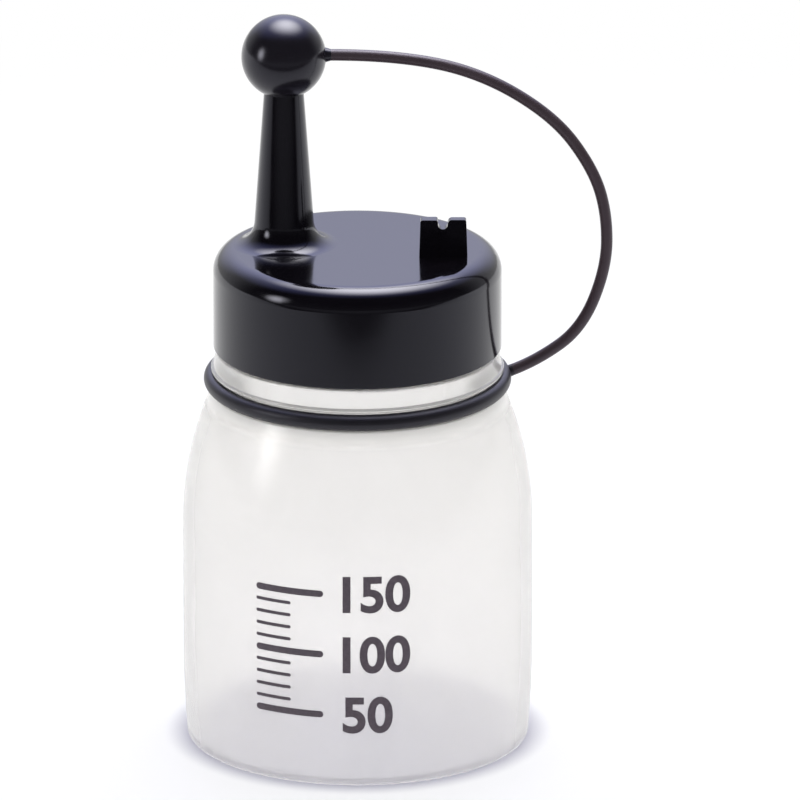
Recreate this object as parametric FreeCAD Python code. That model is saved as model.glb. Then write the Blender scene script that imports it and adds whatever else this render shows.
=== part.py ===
import FreeCAD, Part
import math
import os

# Squeeze bottle for dressing: a soft bottle, a screw cap with a pouring spout
# beside its middle, and a ball that stops the spout and hangs on a strap from
# a ring round the neck. Millimetres, +Z up, origin at the middle of the foot.

# Bottle body
body_radius = 36.1        # widest, at mid height
base_draw = 0.8           # how far the wall draws in at the heel
waist_start = 20.0        # height where the lower curve reaches full width
shoulder_start = 46.0     # height where the shoulder begins to draw in
shoulder_height = 29.0    # rise of the shoulder up to the ring's ledge
shoulder_draw = 6.1       # how far the shoulder draws in at the ledge
body_wall = 1.2
heel_round = 1.0
foot_width = 3.5          # flat ring that the bottle stands on
push_up = 2.4             # rise of the hollow under the base
base_wall = 1.4

# Neck, from the ring's groove to the rim
bead_proud = 0.2          # how far the bead stands past the ring's centre line
bead_height = 0.9
collar_height = 3.6       # plain band between the bead and the cap
collar_step = 0.6         # the cap's edge stands this far past the band
neck_wall = 1.9
throat_drop = 1.7         # the inside turns in this far below the ledge
bore_drop = 1.0           # and is at the bore this far below it
rim_round = 0.5
lip_round = 0.5

# Screw cap
cap_inset = 0.3           # the cap's side lies this far inside the ring's centre line
cap_height = 20.9
cap_wall = 1.6
cap_top_wall = 1.8
cap_round = 4.6           # large round between the cap's top and side
cap_lip_round = 0.4
skirt_gap = 0.45          # between the band and the cap's lower edge
seat_depth = 4.9          # from the cap's top down to the gasket's seat
seat_width = 5.0          # seat for the gasket, inwards from the skirt
recess_round = 1.0
thread_gap = 1.3          # room for the thread between the neck and the skirt

# Gasket
gasket_thickness = 1.2
gasket_overlap = 1.0      # past the rim's inner edge
gasket_gap = 0.2          # to the skirt

# Spout, one piece with the cap
spout_angle = 165.2       # place round the cap, from +X
spout_base_dia = 12.9
spout_tip_dia = 6.85
spout_height = 41.55
spout_wall = 1.7
spout_mouth_dia = 3.2
spout_flare = 5.0         # wide round where the spout meets the cap
spout_edge = 3.05         # from the spout's side to the cap's large round
spout_tip_round = 0.6

# Notched post on the cap, opposite the spout, that parks the strap
post_length = 9.9         # level, in the strap's own direction
post_taper = 0.25         # each end leans in this much
post_depth = 2.0
post_height = 7.9
post_edge = 1.9           # from the post's end to the cap's large round
post_round = 0.5
inner_prong = 3.6         # width of the prong next to the spout, at the top
prong_step = 0.25         # the inner prong is this much deeper on both faces
notch_grip = 0.4          # the notch is this much narrower than the soft strap
notch_depth = 2.0
notch_mouth_round = 0.5
notch_lead = 0.9          # the outer side of the notch's mouth is rounder

# Ball stopper
ball_dia = 17.4
tip_past_centre = 1.55    # the spout's tip stands this far above the ball's centre
socket_gap = 0.15
socket_end_gap = 0.4
socket_mouth_round = 0.3

# Neck ring and strap
ring_dia = 3.4            # thickness of the ring
ring_gap = 0.3            # round the ring in its groove
strap_dia = 2.4
ball_stub_root_dia = 3.0  # the stubs widen towards the ball and the ring
ring_stub_root_dia = 2.6
ball_stub = 1.0           # how far the ball's stub stands out
ball_stub_lift = 0.35     # the stub leaves a little over the ball's centre
ring_stub = 1.0           # how far the ring's stub stands out
ring_stub_rise = 22.0     # degrees up from level
ring_stub_drop = 0.6      # the stub leaves a little under the ring's centre
ball_run = 12.1           # straight run of the strap's route at the ball
ring_run = 5.1            # and at the ring
arc_share = 0.45          # share of the shorter run that each arc takes up

# The strap's loop between those runs, as (x, z) in the strap's own plane
strap_loop = [
    (24.6, 141.7),
    (40.4, 132.0),
    (48.5, 120.6),
    (51.3, 111.0),
    (51.3, 99.6),
    (46.3, 86.3),
]

# Heights, from the foot upwards
ledge_z = shoulder_start + shoulder_height
ring_z = ledge_z + ring_gap + ring_dia / 2
bead_z = ring_z + ring_dia / 2 + ring_gap
collar_z = bead_z + bead_height
collar_top = collar_z + collar_height
cap_bottom = collar_top + skirt_gap
cap_top = cap_bottom + cap_height
seat_z = cap_top - seat_depth
rim_z = seat_z - gasket_thickness
tip_z = cap_top + spout_height
ball_z = tip_z - tip_past_centre
strap_start_z = ball_z + ball_stub_lift

# Radii, from the body inwards
ring_radius = body_radius - shoulder_draw
groove_radius = ring_radius - ring_dia / 2 - ring_gap
bead_radius = ring_radius + bead_proud
base_radius = body_radius - base_draw
cap_radius = ring_radius - cap_inset
cap_flat_radius = cap_radius - cap_round
cap_bore = cap_radius - cap_wall
recess_radius = cap_bore - seat_width
finish_radius = cap_bore - thread_gap
neck_bore = finish_radius - neck_wall

# Places of the spout and the post on the cap's flat top
spout_radius = spout_base_dia / 2
spout_offset = cap_flat_radius - spout_edge - spout_radius
spout_x = spout_offset * math.cos(math.radians(spout_angle))
spout_y = spout_offset * math.sin(math.radians(spout_angle))
spout_slope = (spout_base_dia - spout_tip_dia) / 2 / spout_height
post_offset = cap_flat_radius - post_edge - post_length / 2
post_x = -post_offset * math.cos(math.radians(spout_angle))
post_y = -post_offset * math.sin(math.radians(spout_angle))

UP = FreeCAD.Vector(0, 0, 1)
FULL_TURN = 360
TOUCH = 1e-6              # points closer than this are one point


def at(radius, height):
    """A point of a half section, in the plane y = 0."""
    return FreeCAD.Vector(radius, 0, height)


def line(start, end):
    return Part.LineSegment(start, end).toShape()


def arc(start, middle, end):
    return Part.Arc(start, middle, end).toShape()


def corner_cut(before, corner, after, radius):
    """Start, middle and end of the arc that rounds one corner."""
    back = (before - corner).normalize()
    ahead = (after - corner).normalize()
    half_turn = (math.pi - back.getAngle(ahead)) / 2
    cut = radius * math.tan(half_turn)
    inward = (back + ahead).normalize()
    middle = corner + inward * (radius / math.cos(half_turn) - radius)
    return corner + back * cut, middle, corner + ahead * cut


def rounded_path(points, radii):
    """Straight runs through the points, with each inner corner rounded."""
    edges = []
    reached = points[0]
    for index in range(1, len(points) - 1):
        corner = points[index]
        if radii[index] == 0:
            edges.append(line(reached, corner))
            reached = corner
            continue
        start, middle, end = corner_cut(points[index - 1], corner, points[index + 1], radii[index])
        if reached.distanceToPoint(start) > TOUCH:
            edges.append(line(reached, start))
        edges.append(arc(start, middle, end))
        reached = end
    edges.append(line(reached, points[-1]))
    return edges


def turned(edges):
    """The solid that a closed half section sweeps about the Z axis."""
    section = Part.Face(Part.Wire(edges))
    return section.revolve(FreeCAD.Vector(0, 0, 0), UP, FULL_TURN)


def circles_at(shape, radius, height):
    """Edges of the shape that are level circles of this size and height."""
    found = []
    for edge in shape.Edges:
        if edge.Degenerated or not isinstance(edge.Curve, Part.Circle):
            continue
        same_size = abs(edge.Curve.Radius - radius) < TOUCH
        same_height = abs(edge.Curve.Center.z - height) < TOUCH
        if same_size and same_height:
            found.append(edge)
    return found


def upright_arc(full, drop, level, end_level):
    """An arc that is upright at one level and has drawn in by drop at another.

    Returns the radius at mid height and the arc's own radius.
    """
    rise = abs(end_level - level)
    bend = (rise ** 2 + drop ** 2) / (2 * drop)
    half = rise / 2
    return full - bend + math.sqrt(bend ** 2 - half ** 2), bend


def upright_arc_radius(full, bend, rise):
    """Radius of such an arc at a rise from its upright end."""
    return full - bend + math.sqrt(bend ** 2 - rise ** 2)


def dome_middle(width, rise):
    """Half-way point of a shallow dome that is level on the axis."""
    bend = (width ** 2 + rise ** 2) / (2 * rise)
    half = width / 2
    return half, rise - bend + math.sqrt(bend ** 2 - half ** 2)


def make_bottle():
    """One closed half section, up the outside and down the inside."""
    foot_radius = base_radius - heel_round
    hollow_radius = foot_radius - foot_width
    hollow_mid, hollow_mid_z = dome_middle(hollow_radius, push_up)
    waist_mid, waist_bend = upright_arc(body_radius, base_draw, waist_start, 0)
    shoulder_mid, shoulder_bend = upright_arc(body_radius, shoulder_draw, shoulder_start, ledge_z)
    bead_half = bead_height / 2
    band_radius = bead_radius - bead_half
    band_top = cap_radius - collar_step
    outside = [
        arc(at(0, push_up), at(hollow_mid, hollow_mid_z), at(hollow_radius, 0)),
        line(at(hollow_radius, 0), at(base_radius, 0)),
        arc(at(base_radius, 0), at(waist_mid, waist_start / 2), at(body_radius, waist_start)),
        line(at(body_radius, waist_start), at(body_radius, shoulder_start)),
        arc(
            at(body_radius, shoulder_start),
            at(shoulder_mid, shoulder_start + shoulder_height / 2),
            at(ring_radius, ledge_z),
        ),
        line(at(ring_radius, ledge_z), at(groove_radius, ledge_z)),
        line(at(groove_radius, ledge_z), at(groove_radius, bead_z)),
        line(at(groove_radius, bead_z), at(band_radius, bead_z)),
        arc(at(band_radius, bead_z), at(bead_radius, bead_z + bead_half), at(band_radius, collar_z)),
        line(at(band_radius, collar_z), at(band_top, collar_top)),
        line(at(band_top, collar_top), at(finish_radius, collar_top)),
        line(at(finish_radius, collar_top), at(finish_radius, rim_z)),
        line(at(finish_radius, rim_z), at(neck_bore, rim_z)),
    ]

    wall_radius = body_radius - body_wall
    throat_z = ledge_z - throat_drop
    throat_radius = upright_arc_radius(body_radius, shoulder_bend, throat_z - shoulder_start)
    throat_radius = throat_radius - body_wall
    inner_draw = wall_radius - throat_radius
    inner_mid, _ = upright_arc(wall_radius, inner_draw, shoulder_start, throat_z)
    floor_radius = upright_arc_radius(body_radius, waist_bend, waist_start - base_wall) - body_wall
    inner_waist_mid, _ = upright_arc(wall_radius, wall_radius - floor_radius, waist_start, base_wall)
    inside = [
        line(at(neck_bore, rim_z), at(neck_bore, ledge_z - bore_drop)),
        line(at(neck_bore, ledge_z - bore_drop), at(throat_radius, throat_z)),
        arc(
            at(throat_radius, throat_z),
            at(inner_mid, (throat_z + shoulder_start) / 2),
            at(wall_radius, shoulder_start),
        ),
        line(at(wall_radius, shoulder_start), at(wall_radius, waist_start)),
        arc(
            at(wall_radius, waist_start),
            at(inner_waist_mid, (waist_start + base_wall) / 2),
            at(floor_radius, base_wall),
        ),
        line(at(floor_radius, base_wall), at(hollow_radius, base_wall)),
        arc(
            at(hollow_radius, base_wall),
            at(hollow_mid, hollow_mid_z + base_wall),
            at(0, push_up + base_wall),
        ),
        line(at(0, push_up + base_wall), at(0, push_up)),
    ]
    bottle = turned(outside + inside)
    heel = circles_at(bottle, base_radius, 0)
    inner_heel = circles_at(bottle, floor_radius, base_wall)
    bottle = bottle.makeFillet(heel_round, heel + inner_heel)
    lips = circles_at(bottle, ring_radius, ledge_z) + circles_at(bottle, band_top, collar_top)
    bottle = bottle.makeFillet(lip_round, lips)
    rim = circles_at(bottle, finish_radius, rim_z) + circles_at(bottle, neck_bore, rim_z)
    return bottle.makeFillet(rim_round, rim)


def make_cap_shell():
    """Top, large round, skirt, gasket seat and the recess above the rim."""
    points = [
        at(0, cap_top),
        at(cap_radius, cap_top),
        at(cap_radius, cap_bottom),
        at(cap_bore, cap_bottom),
        at(cap_bore, seat_z),
        at(recess_radius, seat_z),
        at(recess_radius, cap_top - cap_top_wall),
        at(0, cap_top - cap_top_wall),
    ]
    radii = [0, cap_round, cap_lip_round, cap_lip_round, gasket_gap, 0, recess_round, 0]
    edges = rounded_path(points, radii)
    edges.append(line(points[-1], points[0]))
    return turned(edges)


def spout_radius_at(height):
    """The spout's outer radius on its cone."""
    return spout_radius - spout_slope * (height - cap_top)


def make_spout():
    """The tapered spout, turned about its own axis, from inside the cap's top."""
    low = cap_top - cap_top_wall / 2
    points = [
        at(0, low),
        at(spout_radius_at(low), low),
        at(spout_tip_dia / 2, tip_z),
        at(0, tip_z),
    ]
    edges = rounded_path(points, [0, 0, spout_tip_round, 0])
    edges.append(line(points[-1], points[0]))
    spout = turned(edges)
    spout.translate(FreeCAD.Vector(spout_x, spout_y, 0))
    return spout


def make_spout_bore():
    """The passage for the dressing, tapered like the spout."""
    low = cap_top - cap_top_wall
    wide = spout_radius - spout_wall
    narrow = spout_mouth_dia / 2
    below = wide + (wide - narrow) / spout_height * cap_top_wall
    height = tip_z - low
    return Part.makeCone(below, narrow, height, FreeCAD.Vector(spout_x, spout_y, low), UP)


def make_post():
    """Two prongs with a round-bottomed notch, opposite the spout."""
    half = post_length / 2
    top_half = half - post_taper
    embed = cap_top - cap_top_wall / 2
    top = cap_top + post_height
    floor = top - notch_depth
    notch_low = -top_half + inner_prong
    notch_width = strap_dia - notch_grip
    notch_high = notch_low + notch_width
    outline = [
        at(-half, embed),
        at(-half, cap_top),
        at(-top_half, top),
        at(notch_low, top),
        at(notch_low, floor),
        at(notch_high, floor),
        at(notch_high, top),
        at(top_half, top),
        at(half, cap_top),
        at(half, embed),
    ]
    notch_round = notch_width / 2
    rounds = [0, 0, post_round, notch_mouth_round, notch_round, notch_round]
    rounds += [notch_lead, post_round, 0, 0]
    edges = rounded_path(outline, rounds)
    edges.append(line(outline[-1], outline[0]))
    across = FreeCAD.Vector(0, 1, 0)
    prongs = Part.Face(Part.Wire(edges)).extrude(across * post_depth)
    prongs.translate(across * (-post_depth / 2))

    inner_outline = [
        at(-half, embed),
        at(-half, cap_top),
        at(-top_half, top),
        at(notch_low, top),
        at(notch_low, embed),
    ]
    inner_rounds = [0, 0, post_round, notch_mouth_round, 0]
    inner_edges = rounded_path(inner_outline, inner_rounds)
    inner_edges.append(line(inner_outline[-1], inner_outline[0]))
    inner_depth = post_depth + 2 * prong_step
    inner = Part.Face(Part.Wire(inner_edges)).extrude(across * inner_depth)
    inner.translate(across * (-inner_depth / 2))

    post = prongs.fuse(inner).removeSplitter()
    post.translate(FreeCAD.Vector(post_x, post_y, 0))
    return post


def make_screw_cap():
    """Cap shell, spout with its wide round and its bore, and the notched post."""
    cap = make_cap_shell().fuse(make_spout())
    cap = cap.makeFillet(spout_flare, circles_at(cap, spout_radius, cap_top))
    cap = cap.fuse(make_post())
    return cap.cut(make_spout_bore()).removeSplitter()


def make_gasket():
    """Flat ring that the bottle's rim presses against the cap's seat."""
    outer = cap_bore - gasket_gap
    inner = neck_bore - gasket_overlap
    low = FreeCAD.Vector(0, 0, rim_z)
    ring = Part.makeCylinder(outer, gasket_thickness, low, UP)
    return ring.cut(Part.makeCylinder(inner, gasket_thickness, low, UP))


def make_socket():
    """The hollow in the ball: the spout's cone with room round it and a round mouth."""
    ball_radius = ball_dia / 2
    mouth_radius = spout_radius_at(ball_z - ball_radius) + socket_gap
    mouth_z = ball_z - math.sqrt(ball_radius ** 2 - mouth_radius ** 2)
    mouth_radius = spout_radius_at(mouth_z) + socket_gap
    end_z = tip_z + socket_end_gap
    end_radius = spout_radius_at(end_z) + socket_gap
    points = [
        at(0, ball_z - ball_radius),
        at(ball_radius, ball_z - ball_radius),
        at(ball_radius, mouth_z),
        at(mouth_radius, mouth_z),
        at(end_radius, end_z),
        at(0, end_z),
    ]
    edges = rounded_path(points, [0, 0, 0, socket_mouth_round, spout_tip_round, 0])
    edges.append(line(points[-1], points[0]))
    socket = turned(edges)
    socket.translate(FreeCAD.Vector(spout_x, spout_y, 0))
    return socket


def make_spout_cap():
    """Ball with a tapered socket for the spout and a stub for the strap."""
    centre = FreeCAD.Vector(spout_x, spout_y, ball_z)
    ball_radius = ball_dia / 2
    ball = Part.makeSphere(ball_radius, centre)
    stub_start = FreeCAD.Vector(spout_x, spout_y, strap_start_z)
    stub_length = ball_radius + ball_stub
    widening = (ball_stub_root_dia - strap_dia) / 2 / ball_stub
    root = strap_dia / 2 + widening * stub_length
    stub = Part.makeCone(root, strap_dia / 2, stub_length, stub_start, FreeCAD.Vector(1, 0, 0))
    ball = ball.fuse(stub).removeSplitter()
    return ball.cut(make_socket())


def ring_stub_axis():
    """Where the ring's stub starts in the ring, and the way it points."""
    across = math.sqrt(ring_radius ** 2 - spout_y ** 2)
    rise = math.radians(ring_stub_rise)
    start = FreeCAD.Vector(across, spout_y, ring_z - ring_stub_drop)
    return start, FreeCAD.Vector(math.cos(rise), 0, math.sin(rise))


def make_neck_ring():
    """Round ring in the bottle's groove, with a stub for the strap."""
    ring = Part.makeTorus(ring_radius, ring_dia / 2, FreeCAD.Vector(0, 0, ring_z), UP)
    start, way = ring_stub_axis()
    stub = Part.makeCone(ring_stub_root_dia / 2, strap_dia / 2, ring_dia / 2 + ring_stub, start, way)
    return ring.fuse(stub).removeSplitter()


def strap_route():
    """The strap's points, from the ball's stub to the ring's."""
    level = FreeCAD.Vector(1, 0, 0)
    ball_end = FreeCAD.Vector(spout_x + ball_dia / 2 + ball_stub, spout_y, strap_start_z)
    start, way = ring_stub_axis()
    ring_end = start + way * (ring_dia / 2 + ring_stub)
    route = [ball_end, ball_end + level * ball_run]
    route += [FreeCAD.Vector(x, spout_y, z) for x, z in strap_loop]
    route += [ring_end + way * ring_run, ring_end]
    return route


def make_strap():
    """Round strap on straight runs joined by arcs as large as the runs allow."""
    route = strap_route()
    radii = [0]
    for index in range(1, len(route) - 1):
        back = route[index - 1] - route[index]
        ahead = route[index + 1] - route[index]
        half_turn = (math.pi - back.getAngle(ahead)) / 2
        radii.append(arc_share * min(back.Length, ahead.Length) / math.tan(half_turn))
    path = Part.Wire(rounded_path(route, radii + [0]))
    way = (route[1] - route[0]).normalize()
    section = Part.Wire(Part.makeCircle(strap_dia / 2, route[0], way))
    strap = path.makePipeShell([section], True, False)
    area = math.pi * strap_dia ** 2 / 4
    print("strap radii", [round(radius, 1) for radius in radii[1:]])
    print("strap length", round(path.Length, 2), "volume over section times length",
          round(strap.Volume / (area * path.Length), 4))
    return strap


def main():
    os.makedirs("parts", exist_ok=True)
    pieces = {
        "bottle": make_bottle(),
        "screw_cap": make_screw_cap(),
        "cap_gasket": make_gasket(),
        "spout_cap": make_spout_cap(),
        "neck_ring": make_neck_ring(),
        "tether_strap": make_strap(),
    }
    for name, shape in pieces.items():
        box = shape.BoundBox
        print(name, "valid", shape.isValid(), "solids", len(shape.Solids), "volume", round(shape.Volume, 1),
              "z", round(box.ZMin, 2), round(box.ZMax, 2))
        shape.exportStep("parts/" + name + ".step")


main()
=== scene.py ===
import math

import bmesh
import bpy
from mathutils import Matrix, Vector


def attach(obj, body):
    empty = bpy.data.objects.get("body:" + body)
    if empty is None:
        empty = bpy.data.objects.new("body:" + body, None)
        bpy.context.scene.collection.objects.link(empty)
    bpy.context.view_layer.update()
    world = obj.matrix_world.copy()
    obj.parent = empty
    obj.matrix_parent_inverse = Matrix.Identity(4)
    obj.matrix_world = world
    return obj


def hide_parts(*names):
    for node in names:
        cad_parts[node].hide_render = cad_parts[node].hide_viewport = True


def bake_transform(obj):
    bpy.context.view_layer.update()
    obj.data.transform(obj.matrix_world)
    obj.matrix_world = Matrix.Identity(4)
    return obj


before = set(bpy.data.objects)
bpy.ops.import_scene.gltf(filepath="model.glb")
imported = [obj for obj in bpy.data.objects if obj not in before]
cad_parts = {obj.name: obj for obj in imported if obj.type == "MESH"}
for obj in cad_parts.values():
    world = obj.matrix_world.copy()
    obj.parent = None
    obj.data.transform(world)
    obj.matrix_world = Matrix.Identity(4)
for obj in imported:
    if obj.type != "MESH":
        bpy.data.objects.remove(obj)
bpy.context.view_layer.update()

# Squeeze bottle for dressing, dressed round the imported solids. Metres, +Z up.

MM = 0.001

# Camera
VIEW_ELEVATION = 18.35        # degrees above the horizon
VIEW_DISTANCE = 3.0
VIEW_TARGET = Vector((0.00875, -0.0024, 0.0728))
SENSOR_WIDTH = 36.0           # mm
LENS = 655.1                  # mm
CLIP_END = 20.0

# Strap route from the ball's stub to the ring's, as (x, z) in mm in its own plane
STRAP_PLANE_Y = 3.985
STRAP_ROUTE = [
    (-5.38, 145.2),
    (6.72, 145.2),
    (24.6, 141.7),
    (40.4, 132.0),
    (48.5, 120.6),
    (51.3, 111.0),
    (51.3, 99.6),
    (46.3, 86.3),
    (36.97, 79.32),
    (32.24, 77.41),
]
STRAP_DIAMETER = 2.4          # mm
STRAP_SPLIT_Z = 106.0         # mm, height where its two halves meet
STRAP_SIDES = 28
STRAP_CURVE_ORDER = 3
STRAP_CURVE_STEPS = 16        # points read on each stretch of its line

# Screw thread, one turn for 4.2 mm
THREAD_PITCH = 4.2            # mm
THREAD_HEIGHT = 0.85          # mm, how far a ridge stands out
THREAD_ROOT = 1.9             # mm, width of a ridge at its foot
THREAD_CREST = 0.8            # mm, and at its top
THREAD_SINK = 0.25            # mm, how deep the ridge's foot lies in the wall
THREAD_TURNS = 1.75
THREAD_STEPS = 72             # sections in each turn
THREAD_RUN_OUT = 0.12         # turns over which each end fades into the wall
NECK_FINISH_RADIUS = 26.8     # mm
NECK_THREAD_LOW = 87.6        # mm
CAP_BORE_RADIUS = 28.1        # mm

# Measuring scale printed on the front
BODY_RADIUS = 36.1            # mm
BODY_WALL = 1.2               # mm
WAIST_START = 20.0            # mm, below it the wall draws in
BASE_DRAW = 0.8               # mm, by this much at the heel
SHOULDER_START = 46.0         # mm, above it the wall draws in
SHOULDER_DRAW = 6.1           # mm, by this much over the shoulder's height
SHOULDER_HEIGHT = 29.0        # mm
ML = 1000.0                   # mm3
SCALE_ZERO = 2.73             # mm, mean height of the floor inside
SCALE_FIRST = 50              # ml, lowest mark
SCALE_LAST = 150              # ml, highest mark
SCALE_STEP = 10               # ml between marks
SCALE_NUMBERED = 50           # ml between numbers
MARK_LEFT = -22.0             # mm along the wall from the middle of the front
LONG_MARK = (15.0, 1.4)       # mm, length and width of a mark with a number
SHORT_MARK = (8.0, 0.7)       # mm, and of one without
MARK_END_STEPS = 6            # sides of each rounded end
NUMBER_LEFT = -3.0            # mm
NUMBER_HEIGHT = 8.0           # mm
NUMBER_STROKE = 0.22          # mm, by which each side of a stroke is fattened
INK_LIFT = 0.01               # mm, the ink's underside over the wall
INK_THICKNESS = 0.04          # mm
INK_SLICE = 1.0               # mm, strips into which the ink is cut to go round the wall

# How the bottle's wall passes light, by height
THIN_WALL_TOP = 71.2          # mm, up to here the wall is thin
LEDGE_LOW = 73.5              # mm, the thick ledge under the ring begins
LEDGE_HIGH = 76.5             # mm, and ends
NECK_LOW = 78.5               # mm, from here up it is the neck's own wall
THIN_WALL_CLEAR = 0.92        # share of the plastic's light that comes straight through
# the ledge's share is low for its thickness, and lower still as painted light that lifts the
# shade under the ring
LEDGE_CLEAR = 0.20
NECK_CLEAR = 0.74
THIN_WALL_MILK = 0.20         # share of the plastic that glows with the light behind it

# Refractive index
POLYETHYLENE_IOR = 1.51
POLYPROPYLENE_IOR = 1.5
SILICONE_IOR = 1.41
INK_IOR = 1.5
GLOSS_TINT = "#EDEEFF"        # cool gloss of the black plastics

# Lamps: name, place and size in metres, brightness where 1 is the background's white,
# colour, and whether only the gloss shows them
LAMP_AIM = (0, 0, 0.1)
LAMPS = (
    ("lamp_above", (0.05, 0.37, 0.92), (1.24, 1.24), 2.0, "#FFFFFF", False),
    ("lamp_back", (0, 1.10, 0.79), (3.0, 1.9), 1.37, "#CBCFFF", False),
    ("shine_above", (0.05, 0.26, 0.93), (1.20, 1.20), 10.5, "#FFFCF2", True),
    ("shine_sky", (0, 0.42, 1.24), (3.4, 3.0), 1.8, "#B4B9FF", True),
    ("shine_left", (-0.78, -0.33, 0.32), (0.40, 0.62), 8.0, "#FFFDFB", True),
)

# What the gloss sees beyond the lamps, by direction; brightness 1 is white
WHITE = "#FFFFFF"
HALL_GLOW = 0.045             # brightness of the dark hall at the horizon
HALL_DARK_FROM = 0.5          # upward share of the direction from which it is black
BACKDROP_GLOW = 0.6           # brightness of the backdrop
BACKDROP_FROM = 0.7           # backward share of the direction from which it is full

# Floor paper, places in metres
FLOOR_RADIUS = 6.0
FLOOR_SIDES = 96
SHADOW_FULL = 0.12            # the bottle's shadow shows in full up to here
SHADOW_END = 0.5              # and has faded to white here
# Painted shadow: the floor's glow is darkened under the bottle's foot, so the base reads shaded
# through the bottle
FOOT_SHADE_FULL = 0.033       # the paper under the foot is dark up to here
FOOT_SHADE_END = 0.041        # and lit from here
PAPER_EDGE = (-0.33, -0.295)  # y over which the paper starts in the gloss
PAPER_NEAR = (-0.3, 0.58)     # y, and the paper's brightness in the gloss there
PAPER_FAR = (0.2, 1.2)
BEFORE_PAPER = (-0.45, -0.75)  # y over which the floor before the paper brightens
BEFORE_PAPER_GLOW = 0.2


# Small helpers

def linear(code):
    """An sRGB hex colour as linear RGBA."""
    channels = [int(code[start:start + 2], 16) / 255 for start in (1, 3, 5)]
    low = [value / 12.92 for value in channels]
    high = [((value + 0.055) / 1.055) ** 2.4 for value in channels]
    return [l if v <= 0.04045 else h for v, l, h in zip(channels, low, high)] + [1.0]


def grain(size_mm):
    """Texture scale that gives features of this size."""
    return 1 / (size_mm * MM)


def add_node(tree, kind, values=None, links=None, **settings):
    """Adds one node: settings are its properties, values its inputs, links what feeds them."""
    node = tree.nodes.new(kind)
    for name, value in settings.items():
        setattr(node, name, value)
    for socket, value in (values or {}).items():
        node.inputs[socket].default_value = value
    for socket, source in (links or {}).items():
        tree.links.new(source, node.inputs[socket])
    return node


def new_material(name):
    material = bpy.data.materials.new(name)
    material.use_nodes = True
    material.node_tree.nodes.clear()
    return material, material.node_tree


def show(tree, shader):
    add_node(tree, "ShaderNodeOutputMaterial", links={"Surface": shader})


def object_from(name, build):
    """A mesh object from a finished bmesh."""
    mesh = bpy.data.meshes.new(name)
    build.to_mesh(mesh)
    build.free()
    piece = bpy.data.objects.new(name, mesh)
    bpy.context.scene.collection.objects.link(piece)
    return piece


def dress(piece, material):
    piece.data.materials.clear()
    piece.data.materials.append(material)


# Materials

def blow_moulded_polyethylene():
    """Low-density polyethylene, blown in a blasted mould: milky, see-through, softly frosted.

    The wall is thin and clear in the body and clear again in the neck. At the ledge under
    the ring it is thick and nearly opaque white, partly for its thickness and partly as
    painted light that lifts the ring's shade there.
    """
    material, tree = new_material("polyethylene_blow_moulded_frosted")
    place = add_node(tree, "ShaderNodeTexCoord").outputs["Object"]
    cloud = add_node(
        tree, "ShaderNodeTexNoise", {"Scale": grain(14), "Detail": 3.0, "Roughness": 0.55},
        {"Vector": place})
    colour = add_node(
        tree, "ShaderNodeMix", {"A": linear("#FFFEFB"), "B": linear("#FBFAF7")},
        {"Factor": cloud.outputs["Fac"]}, data_type="RGBA")
    frost = add_node(
        tree, "ShaderNodeMapRange", {"To Min": 0.16, "To Max": 0.21},
        {"Value": cloud.outputs["Fac"]})
    wave = add_node(
        tree, "ShaderNodeTexNoise", {"Scale": grain(16), "Detail": 1.0}, {"Vector": place})
    bump = add_node(
        tree, "ShaderNodeBump", {"Strength": 0.25, "Distance": 0.06 * MM},
        {"Height": wave.outputs["Fac"]})
    height = add_node(tree, "ShaderNodeSeparateXYZ", None, {"Vector": place}).outputs["Z"]
    up_to_ledge = add_node(
        tree, "ShaderNodeMapRange",
        {"From Min": THIN_WALL_TOP * MM, "From Max": LEDGE_LOW * MM,
         "To Min": THIN_WALL_CLEAR, "To Max": LEDGE_CLEAR},
        {"Value": height}, interpolation_type="SMOOTHSTEP")
    from_ledge = add_node(
        tree, "ShaderNodeMapRange",
        {"From Min": LEDGE_HIGH * MM, "From Max": NECK_LOW * MM,
         "To Min": LEDGE_CLEAR, "To Max": NECK_CLEAR},
        {"Value": height}, interpolation_type="SMOOTHSTEP")
    through_wall = add_node(
        tree, "ShaderNodeMath", None,
        {0: up_to_ledge.outputs["Result"], 1: from_ledge.outputs["Result"]}, operation="MAXIMUM")
    cloudy = add_node(
        tree, "ShaderNodeMapRange",
        {"From Min": LEDGE_LOW * MM, "From Max": LEDGE_HIGH * MM,
         "To Min": THIN_WALL_MILK, "To Max": 0.0},
        {"Value": height}, interpolation_type="SMOOTHSTEP")
    clear = add_node(
        tree, "ShaderNodeBsdfPrincipled", {"IOR": POLYETHYLENE_IOR},
        {"Base Color": colour.outputs["Result"], "Roughness": frost.outputs["Result"],
         "Normal": bump.outputs["Normal"], "Transmission Weight": through_wall.outputs[0]})
    milk = add_node(tree, "ShaderNodeBsdfTranslucent", None, {"Color": colour.outputs["Result"]})
    plastic = add_node(
        tree, "ShaderNodeMixShader", None,
        {0: cloudy.outputs["Result"], 1: clear.outputs[0], 2: milk.outputs[0]})
    through = add_node(tree, "ShaderNodeBsdfTransparent", {"Color": linear("#E6E6E8")})
    path = add_node(tree, "ShaderNodeLightPath")
    lit_through = add_node(
        tree, "ShaderNodeMixShader", None,
        {0: path.outputs["Is Shadow Ray"], 1: plastic.outputs[0], 2: through.outputs[0]})
    show(tree, lit_through.outputs[0])
    return material


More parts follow.
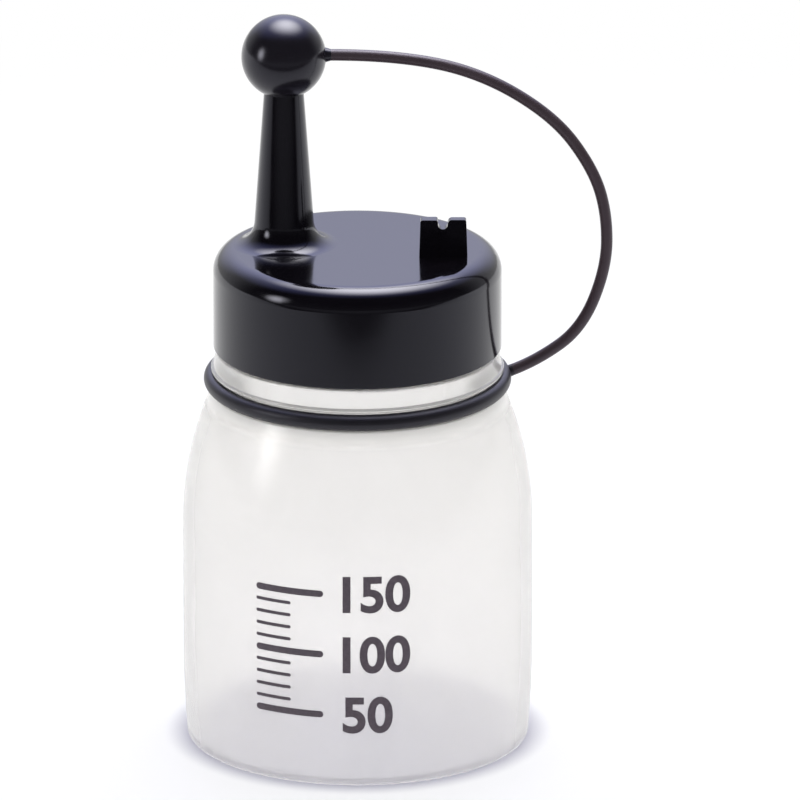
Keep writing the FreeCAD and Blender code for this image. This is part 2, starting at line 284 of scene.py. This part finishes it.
def polished_polypropylene_black():
    """Polypropylene from a polished mould: deep black, mirror gloss with a slight ripple."""
    material, tree = new_material("polypropylene_black_polished_mould")
    place = add_node(tree, "ShaderNodeTexCoord").outputs["Object"]
    haze = add_node(
        tree, "ShaderNodeTexNoise", {"Scale": grain(9), "Detail": 4.0, "Roughness": 0.6},
        {"Vector": place})
    colour = add_node(
        tree, "ShaderNodeMix", {"A": linear("#070609"), "B": linear("#0D0B10")},
        {"Factor": haze.outputs["Fac"]}, data_type="RGBA")
    gloss = add_node(
        tree, "ShaderNodeMapRange", {"To Min": 0.07, "To Max": 0.15},
        {"Value": haze.outputs["Fac"]})
    ripple = add_node(
        tree, "ShaderNodeTexNoise", {"Scale": grain(7), "Detail": 1.0}, {"Vector": place})
    bump = add_node(
        tree, "ShaderNodeBump", {"Strength": 0.2, "Distance": 0.03 * MM},
        {"Height": ripple.outputs["Fac"]})
    plastic = add_node(
        tree, "ShaderNodeBsdfPrincipled",
        {"IOR": POLYPROPYLENE_IOR, "Specular Tint": linear(GLOSS_TINT)},
        {"Base Color": colour.outputs["Result"], "Roughness": gloss.outputs["Result"],
         "Normal": bump.outputs["Normal"]})
    show(tree, plastic.outputs[0])
    return material


def soft_polyethylene(name, dark, pale, smooth, rough):
    """Flexible polyethylene, moulded: a dark, even skin with a softer shine than the cap's."""
    material, tree = new_material(name)
    place = add_node(tree, "ShaderNodeTexCoord").outputs["Object"]
    haze = add_node(
        tree, "ShaderNodeTexNoise", {"Scale": grain(5), "Detail": 4.0, "Roughness": 0.6},
        {"Vector": place})
    colour = add_node(
        tree, "ShaderNodeMix", {"A": linear(dark), "B": linear(pale)},
        {"Factor": haze.outputs["Fac"]}, data_type="RGBA")
    gloss = add_node(
        tree, "ShaderNodeMapRange", {"To Min": smooth, "To Max": rough},
        {"Value": haze.outputs["Fac"]})
    skin = add_node(
        tree, "ShaderNodeTexNoise", {"Scale": grain(1.5), "Detail": 2.0}, {"Vector": place})
    bump = add_node(
        tree, "ShaderNodeBump", {"Strength": 0.1, "Distance": 0.01 * MM},
        {"Height": skin.outputs["Fac"]})
    plastic = add_node(
        tree, "ShaderNodeBsdfPrincipled",
        {"IOR": POLYETHYLENE_IOR, "Specular Tint": linear(GLOSS_TINT)},
        {"Base Color": colour.outputs["Result"], "Roughness": gloss.outputs["Result"],
         "Normal": bump.outputs["Normal"]})
    show(tree, plastic.outputs[0])
    return material


def moulded_soft_polyethylene_black():
    """The ball's: thick, so deep black, and glossy from a polished mould."""
    return soft_polyethylene("polyethylene_black_soft_moulded", "#131116", "#1A181E", 0.13, 0.24)


def moulded_dull_polyethylene_black():
    """The ring's: deep black too, with a dull sheen where it rubs on the neck."""
    return soft_polyethylene("polyethylene_black_dull_moulded", "#141116", "#1B181D", 0.36, 0.48)


def moulded_thin_polyethylene_black():
    """The strap's: the ball's black plastic, painted a lighter plum-brown for the light shining
    through where it is thin, with a dull sheen.
    """
    return soft_polyethylene("polyethylene_black_thin_moulded", "#33272B", "#3D3035", 0.34, 0.46)


def pressed_silicone_white():
    """Silicone sheet, pressed: white, matt, with a fine dusty grain."""
    material, tree = new_material("silicone_white_pressed")
    place = add_node(tree, "ShaderNodeTexCoord").outputs["Object"]
    dust = add_node(
        tree, "ShaderNodeTexNoise", {"Scale": grain(1.2), "Detail": 4.0}, {"Vector": place})
    colour = add_node(
        tree, "ShaderNodeMix", {"A": linear("#E9E8E4"), "B": linear("#DCDBD6")},
        {"Factor": dust.outputs["Fac"]}, data_type="RGBA")
    bump = add_node(
        tree, "ShaderNodeBump", {"Strength": 0.3, "Distance": 0.02 * MM},
        {"Height": dust.outputs["Fac"]})
    rubber = add_node(
        tree, "ShaderNodeBsdfPrincipled", {"IOR": SILICONE_IOR, "Roughness": 0.6},
        {"Base Color": colour.outputs["Result"], "Normal": bump.outputs["Normal"]})
    show(tree, rubber.outputs[0])
    return material


def pad_printed_ink():
    """Pad-printing ink, cured: matt violet-grey, a little uneven where the pad left it thin."""
    material, tree = new_material("ink_violet_grey_pad_printed")
    place = add_node(tree, "ShaderNodeTexCoord").outputs["Object"]
    thin = add_node(
        tree, "ShaderNodeTexNoise", {"Scale": grain(0.9), "Detail": 3.0}, {"Vector": place})
    colour = add_node(
        tree, "ShaderNodeMix", {"A": linear("#3B333C"), "B": linear("#554B55")},
        {"Factor": thin.outputs["Fac"]}, data_type="RGBA")
    ink = add_node(
        tree, "ShaderNodeBsdfPrincipled", {"IOR": INK_IOR, "Roughness": 0.45},
        {"Base Color": colour.outputs["Result"]})
    show(tree, ink.outputs[0])
    return material


# Strap

def strap_line():
    """Points along the strap's smooth line, read from a NURBS spline through its route."""
    curve = bpy.data.curves.new("strap_line", "CURVE")
    curve.dimensions = "3D"
    spline = curve.splines.new("NURBS")
    spline.points.add(len(STRAP_ROUTE) - 1)
    for point, (x, z) in zip(spline.points, STRAP_ROUTE):
        point.co = (x * MM, STRAP_PLANE_Y * MM, z * MM, 1.0)
    spline.order_u = STRAP_CURVE_ORDER
    spline.use_endpoint_u = True
    spline.resolution_u = STRAP_CURVE_STEPS
    carrier = bpy.data.objects.new("strap_line", curve)
    bpy.context.scene.collection.objects.link(carrier)
    bpy.context.view_layer.update()
    ready = carrier.evaluated_get(bpy.context.evaluated_depsgraph_get())
    read = bpy.data.meshes.new_from_object(ready)
    points = [vertex.co.copy() for vertex in read.vertices]
    bpy.data.objects.remove(carrier)
    bpy.data.curves.remove(curve)
    bpy.data.meshes.remove(read)
    return points


def round_tube(name, points, diameter):
    """A closed round tube with its rings on the points, which lie in an upright plane."""
    build = bmesh.new()
    side = Vector((0, 1, 0))
    rings = []
    for index, point in enumerate(points):
        ahead = points[min(index + 1, len(points) - 1)]
        behind = points[max(index - 1, 0)]
        across = side.cross((ahead - behind).normalized())
        ring = []
        for step in range(STRAP_SIDES):
            turn = 2 * math.pi * step / STRAP_SIDES
            offset = side * math.cos(turn) + across * math.sin(turn)
            ring.append(build.verts.new(point + offset * diameter / 2))
        rings.append(ring)
    for near, far in zip(rings, rings[1:]):
        for step in range(STRAP_SIDES):
            after = (step + 1) % STRAP_SIDES
            build.faces.new((near[step], near[after], far[after], far[step])).smooth = True
    for end in (rings[0], rings[-1]):
        for edge in build.faces.new(end).edges:
            edge.smooth = False
    bmesh.ops.recalc_face_normals(build, faces=build.faces)
    return object_from(name, build)


def make_strap(material):
    """The strap as two tubes that meet at one height, in place of the imported strap."""
    points = strap_line()
    split = next(i for i, point in enumerate(points) if point.z < STRAP_SPLIT_Z * MM)
    upper, lower = points[:split + 1], points[split:][::-1]
    halves = (
        ("strap_upper", upper, "spout_cap", "screw_cap"),
        ("strap_lower", lower, "neck_ring", "screw_cap"),
    )
    for name, line, held_by, meets_on in halves:
        half = round_tube(name, line, STRAP_DIAMETER * MM)
        dress(half, material)
        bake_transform(half)
        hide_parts("tether_strap")


# Threads

def thread_ridge(name, wall_radius, low, outward):
    """A right-hand ridge on a round wall that fades into the wall at both ends."""
    build = bmesh.new()
    count = int(THREAD_TURNS * THREAD_STEPS)
    sections = []
    for index in range(count + 1):
        turns = index / THREAD_STEPS
        turn = 2 * math.pi * turns
        fade = min(1.0, turns / THREAD_RUN_OUT, (THREAD_TURNS - turns) / THREAD_RUN_OUT)
        rise = low + THREAD_PITCH * turns
        crest = wall_radius + outward * (THREAD_HEIGHT * fade - THREAD_SINK * (1 - fade) / 2)
        foot = wall_radius - outward * THREAD_SINK
        profile = (
            (foot, rise - THREAD_ROOT / 2),
            (crest, rise - THREAD_CREST / 2),
            (crest, rise + THREAD_CREST / 2),
            (foot, rise + THREAD_ROOT / 2),
        )
        sections.append([
            build.verts.new((r * math.cos(turn) * MM, r * math.sin(turn) * MM, z * MM))
            for r, z in profile])
    for near, far in zip(sections, sections[1:]):
        for step in range(len(near)):
            after = (step + 1) % len(near)
            build.faces.new((near[step], near[after], far[after], far[step]))
    build.faces.new(sections[0])
    build.faces.new(sections[-1])
    bmesh.ops.recalc_face_normals(build, faces=build.faces)
    return object_from(name, build)


def make_threads(bottle_plastic, cap_plastic):
    """The neck's ridge, and the cap's half a pitch below it, each in the other's gaps."""
    neck = thread_ridge("neck_thread", NECK_FINISH_RADIUS, NECK_THREAD_LOW, 1)
    dress(neck, bottle_plastic)
    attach(neck, "bottle")
    cap = thread_ridge("cap_thread", CAP_BORE_RADIUS, NECK_THREAD_LOW - THREAD_PITCH / 2, -1)
    dress(cap, cap_plastic)
    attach(cap, "screw_cap")


# Printed scale

def wall_radius(height):
    """The bottle's outer radius at a height, in mm, on its two drawn-in arcs."""
    if height < WAIST_START:
        draw, rise, run = BASE_DRAW, WAIST_START, WAIST_START - height
    else:
        draw, rise, run = SHOULDER_DRAW, SHOULDER_HEIGHT, max(0.0, height - SHOULDER_START)
    bend = (rise ** 2 + draw ** 2) / (2 * draw)
    return BODY_RADIUS - bend + math.sqrt(bend ** 2 - run ** 2)


def lay_mark(build, height, length, width):
    """A flat bar of ink with round ends, in mm, thick along z."""
    end = width / 2
    outline = []
    ends = ((MARK_LEFT + length - end, -math.pi / 2), (MARK_LEFT + end, math.pi / 2))
    for middle, start in ends:
        for step in range(MARK_END_STEPS + 1):
            turn = start + math.pi * step / MARK_END_STEPS
            outline.append((middle + end * math.cos(turn), height + end * math.sin(turn)))
    under = [build.verts.new((x, y, 0)) for x, y in outline]
    over = [build.verts.new((x, y, INK_THICKNESS)) for x, y in outline]
    build.faces.new(under[::-1])
    build.faces.new(over)
    for index in range(len(outline)):
        after = (index + 1) % len(outline)
        build.faces.new((under[index], under[after], over[after], over[index]))


def lay_number(build, height, number):
    """Numerals of ink, in mm, thick along z, centred on a height."""
    curve = bpy.data.curves.new("number", "FONT")
    curve.body = str(number)
    curve.extrude = INK_THICKNESS / 2
    curve.offset = NUMBER_STROKE / NUMBER_HEIGHT
    carrier = bpy.data.objects.new("number", curve)
    bpy.context.scene.collection.objects.link(carrier)
    bpy.context.view_layer.update()
    ready = carrier.evaluated_get(bpy.context.evaluated_depsgraph_get())
    read = bpy.data.meshes.new_from_object(ready)
    left = min(vertex.co.x for vertex in read.vertices)
    low = min(vertex.co.y for vertex in read.vertices)
    high = max(vertex.co.y for vertex in read.vertices)
    size = NUMBER_HEIGHT / (high - low)
    for vertex in read.vertices:
        x, y, z = vertex.co
        vertex.co = (
            NUMBER_LEFT + (x - left) * size,
            height + (y - (low + high) / 2) * size,
            z + INK_THICKNESS / 2)
    build.from_mesh(read)
    bpy.data.objects.remove(carrier)
    bpy.data.curves.remove(curve)
    bpy.data.meshes.remove(read)


def cut_every(build, axis, low, high):
    """Cuts the ink into strips along one axis, so that it can bend round the wall."""
    place = low
    while place < high:
        everything = build.verts[:] + build.edges[:] + build.faces[:]
        bmesh.ops.bisect_plane(build, geom=everything, plane_co=axis * place, plane_no=axis)
        place += INK_SLICE


def make_scale(ink):
    """Marks each 10 ml and numbers each 50 ml, wrapped on the bottle's front."""
    build = bmesh.new()
    ml_rise = ML / (math.pi * (BODY_RADIUS - BODY_WALL) ** 2)
    for amount in range(SCALE_FIRST, SCALE_LAST + 1, SCALE_STEP):
        height = SCALE_ZERO + amount * ml_rise
        if amount % SCALE_NUMBERED:
            lay_mark(build, height, *SHORT_MARK)
            continue
        lay_mark(build, height, *LONG_MARK)
        lay_number(build, height, amount)
    bmesh.ops.remove_doubles(build, verts=build.verts, dist=INK_THICKNESS / 8)
    xs = [vertex.co.x for vertex in build.verts]
    ys = [vertex.co.y for vertex in build.verts]
    cut_every(build, Vector((1, 0, 0)), min(xs) + INK_SLICE, max(xs))
    cut_every(build, Vector((0, 1, 0)), min(ys) + INK_SLICE, max(ys))
    for vertex in build.verts:
        along, height, lift = vertex.co
        wall = wall_radius(height)
        turn = along / wall
        radius = wall + INK_LIFT + lift
        vertex.co = Vector((radius * math.sin(turn), -radius * math.cos(turn), height)) * MM
    bmesh.ops.recalc_face_normals(build, faces=build.faces)
    scale = object_from("printed_scale", build)
    dress(scale, ink)
    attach(scale, "bottle")


# Studio

def make_camera():
    elevation = math.radians(VIEW_ELEVATION)
    back = Vector((0, -math.cos(elevation), math.sin(elevation)))
    camera = bpy.data.objects.new("camera", bpy.data.cameras.new("camera"))
    bpy.context.scene.collection.objects.link(camera)
    camera.data.sensor_width = SENSOR_WIDTH
    camera.data.lens = LENS
    camera.data.clip_end = CLIP_END
    camera.location = VIEW_TARGET + back * VIEW_DISTANCE
    camera.rotation_euler = back.to_track_quat("Z", "Y").to_euler()
    bpy.context.scene.camera = camera


def make_softbox(name, place, size, brightness, colour, shine_only):
    """A lamp that is brightest in its middle and fades to nothing at its edge."""
    lamp = bpy.data.lights.new(name, "AREA")
    lamp.shape = "RECTANGLE"
    lamp.size, lamp.size_y = size
    lamp.energy = brightness * math.pi * size[0] * size[1]
    lamp.color = linear(colour)[:3]
    lamp.use_nodes = True
    tree = lamp.node_tree
    tree.nodes.clear()
    spot = add_node(tree, "ShaderNodeNewGeometry").outputs["Parametric"]
    from_middle = add_node(
        tree, "ShaderNodeVectorMath", {1: (0.5, 0.5, 0.0)}, {0: spot}, operation="DISTANCE")
    glow = add_node(
        tree, "ShaderNodeMapRange", {"From Max": 0.5, "To Min": 1.0, "To Max": 0.0},
        {"Value": from_middle.outputs["Value"]}, interpolation_type="SMOOTHSTEP")
    light = add_node(tree, "ShaderNodeEmission", None, {"Strength": glow.outputs["Result"]})
    add_node(tree, "ShaderNodeOutputLight", links={"Surface": light.outputs[0]})
    box = bpy.data.objects.new(name, lamp)
    bpy.context.scene.collection.objects.link(box)
    box.location = place
    box.rotation_euler = (Vector(place) - Vector(LAMP_AIM)).to_track_quat("Z", "Y").to_euler()
    box.visible_camera = False
    box.visible_diffuse = not shine_only
    box.visible_transmission = not shine_only


def make_lamps():
    """A soft lamp above, a dim one behind, and panels that only the gloss shows."""
    for lamp in LAMPS:
        make_softbox(*lamp)


def make_world():
    """White to the eye and through the bottle; the gloss sees a backdrop and a dark hall."""
    world = bpy.data.worlds.new("studio")
    bpy.context.scene.world = world
    world.use_nodes = True
    tree = world.node_tree
    tree.nodes.clear()
    path = add_node(tree, "ShaderNodeLightPath")
    way = add_node(tree, "ShaderNodeTexCoord").outputs["Generated"]
    axes = add_node(tree, "ShaderNodeSeparateXYZ", None, {"Vector": way})
    dusk = add_node(
        tree, "ShaderNodeMapRange",
        {"From Min": 0.0, "From Max": HALL_DARK_FROM, "To Min": HALL_GLOW, "To Max": 0.0},
        {"Value": axes.outputs["Z"]}, interpolation_type="SMOOTHSTEP")
    hall = add_node(
        tree, "ShaderNodeMapRange",
        {"From Min": 0.0, "From Max": BACKDROP_FROM, "To Max": BACKDROP_GLOW},
        {"Value": axes.outputs["Y"], "To Min": dusk.outputs["Result"]},
        interpolation_type="SMOOTHSTEP")
    fill = add_node(tree, "ShaderNodeBackground", {"Color": linear(WHITE), "Strength": 1.0})
    sweep = add_node(
        tree, "ShaderNodeBackground", {"Color": linear(WHITE)},
        {"Strength": hall.outputs["Result"]})
    white = add_node(tree, "ShaderNodeBackground", {"Color": linear(WHITE), "Strength": 1.0})
    gloss = add_node(
        tree, "ShaderNodeMixShader", None,
        {0: path.outputs["Is Glossy Ray"], 1: fill.outputs[0], 2: sweep.outputs[0]})
    seen = add_node(
        tree, "ShaderNodeMath", None,
        {0: path.outputs["Is Camera Ray"], 1: path.outputs["Is Transmission Ray"]},
        operation="MAXIMUM")
    both = add_node(
        tree, "ShaderNodeMixShader", None,
        {0: seen.outputs[0], 1: gloss.outputs[0], 2: white.outputs[0]})
    add_node(tree, "ShaderNodeOutputWorld", links={"Surface": both.outputs[0]})


def white_floor_paper():
    """Uncoated white paper: shows white, keeps a soft shadow near the bottle, and has a painted
    shadow under its foot.
    """
    material, tree = new_material("paper_white_floor")
    path = add_node(tree, "ShaderNodeLightPath")
    place = add_node(tree, "ShaderNodeNewGeometry").outputs["Position"]
    distance = add_node(tree, "ShaderNodeVectorMath", None, {0: place}, operation="LENGTH")
    far = add_node(
        tree, "ShaderNodeMapRange", {"From Min": SHADOW_FULL, "From Max": SHADOW_END},
        {"Value": distance.outputs["Value"]}, interpolation_type="SMOOTHSTEP")
    paper = add_node(tree, "ShaderNodeBsdfDiffuse", {"Color": linear("#F2F2F2")})
    shade = add_node(tree, "ShaderNodeBsdfDiffuse", {"Color": linear("#A4A4A8")})
    # painted shadow: under the bottle's foot the glow turns dark lilac, standing in for the
    # foot's contact shadow
    painted_shadow_fade = add_node(
        tree, "ShaderNodeMapRange", {"From Min": FOOT_SHADE_FULL, "From Max": FOOT_SHADE_END},
        {"Value": distance.outputs["Value"]}, interpolation_type="SMOOTHSTEP")
    glow_with_painted_shadow = add_node(
        tree, "ShaderNodeMix", {"A": linear("#5F5D73"), "B": linear("#C9C9C9")},
        {"Factor": painted_shadow_fade.outputs["Result"]}, data_type="RGBA")
    glow = add_node(
        tree, "ShaderNodeEmission", {"Strength": 1.0}, {"Color": glow_with_painted_shadow.outputs["Result"]})
    near = add_node(tree, "ShaderNodeAddShader", None, {0: shade.outputs[0], 1: glow.outputs[0]})
    white = add_node(tree, "ShaderNodeEmission", {"Color": linear(WHITE), "Strength": 1.0})
    shown = add_node(
        tree, "ShaderNodeMixShader", None,
        {0: far.outputs["Result"], 1: near.outputs[0], 2: white.outputs[0]})
    to_back = add_node(tree, "ShaderNodeSeparateXYZ", None, {"Vector": place}).outputs["Y"]
    edge = add_node(
        tree, "ShaderNodeMapRange", {"From Min": PAPER_EDGE[0], "From Max": PAPER_EDGE[1]},
        {"Value": to_back}, interpolation_type="SMOOTHSTEP")
    level = add_node(
        tree, "ShaderNodeMapRange",
        {"From Min": PAPER_NEAR[0], "From Max": PAPER_FAR[0],
         "To Min": PAPER_NEAR[1], "To Max": PAPER_FAR[1]},
        {"Value": to_back})
    on_paper = add_node(
        tree, "ShaderNodeMath", None,
        {0: edge.outputs["Result"], 1: level.outputs["Result"]}, operation="MULTIPLY")
    beyond = add_node(
        tree, "ShaderNodeMapRange",
        {"From Min": BEFORE_PAPER[0], "From Max": BEFORE_PAPER[1], "To Max": BEFORE_PAPER_GLOW},
        {"Value": to_back})
    bright = add_node(
        tree, "ShaderNodeMath", None,
        {0: on_paper.outputs[0], 1: beyond.outputs["Result"]}, operation="MAXIMUM")
    mirrored = add_node(
        tree, "ShaderNodeEmission", {"Color": linear(WHITE)}, {"Strength": bright.outputs[0]})
    gloss = add_node(
        tree, "ShaderNodeMixShader", None,
        {0: path.outputs["Is Glossy Ray"], 1: paper.outputs[0], 2: mirrored.outputs[0]})
    seen = add_node(
        tree, "ShaderNodeMath", None,
        {0: path.outputs["Is Camera Ray"], 1: path.outputs["Is Transmission Ray"]},
        operation="MAXIMUM")
    floor = add_node(
        tree, "ShaderNodeMixShader", None,
        {0: seen.outputs[0], 1: gloss.outputs[0], 2: shown.outputs[0]})
    show(tree, floor.outputs[0])
    return material


def make_floor():
    build = bmesh.new()
    bmesh.ops.create_circle(build, cap_ends=True, segments=FLOOR_SIDES, radius=FLOOR_RADIUS)
    floor = object_from("floor", build)
    dress(floor, white_floor_paper())


def main():
    bpy.context.scene.view_settings.view_transform = "Standard"
    make_camera()
    bottle_plastic = blow_moulded_polyethylene()
    cap_plastic = polished_polypropylene_black()
    make_strap(moulded_thin_polyethylene_black())
    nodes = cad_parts
    dress(nodes["bottle"], bottle_plastic)
    dress(nodes["screw_cap"], cap_plastic)
    dress(nodes["cap_gasket"], pressed_silicone_white())
    dress(nodes["spout_cap"], moulded_soft_polyethylene_black())
    dress(nodes["neck_ring"], moulded_dull_polyethylene_black())
    make_threads(bottle_plastic, cap_plastic)
    make_scale(pad_printed_ink())
    make_lamps()
    make_world()
    make_floor()


main()
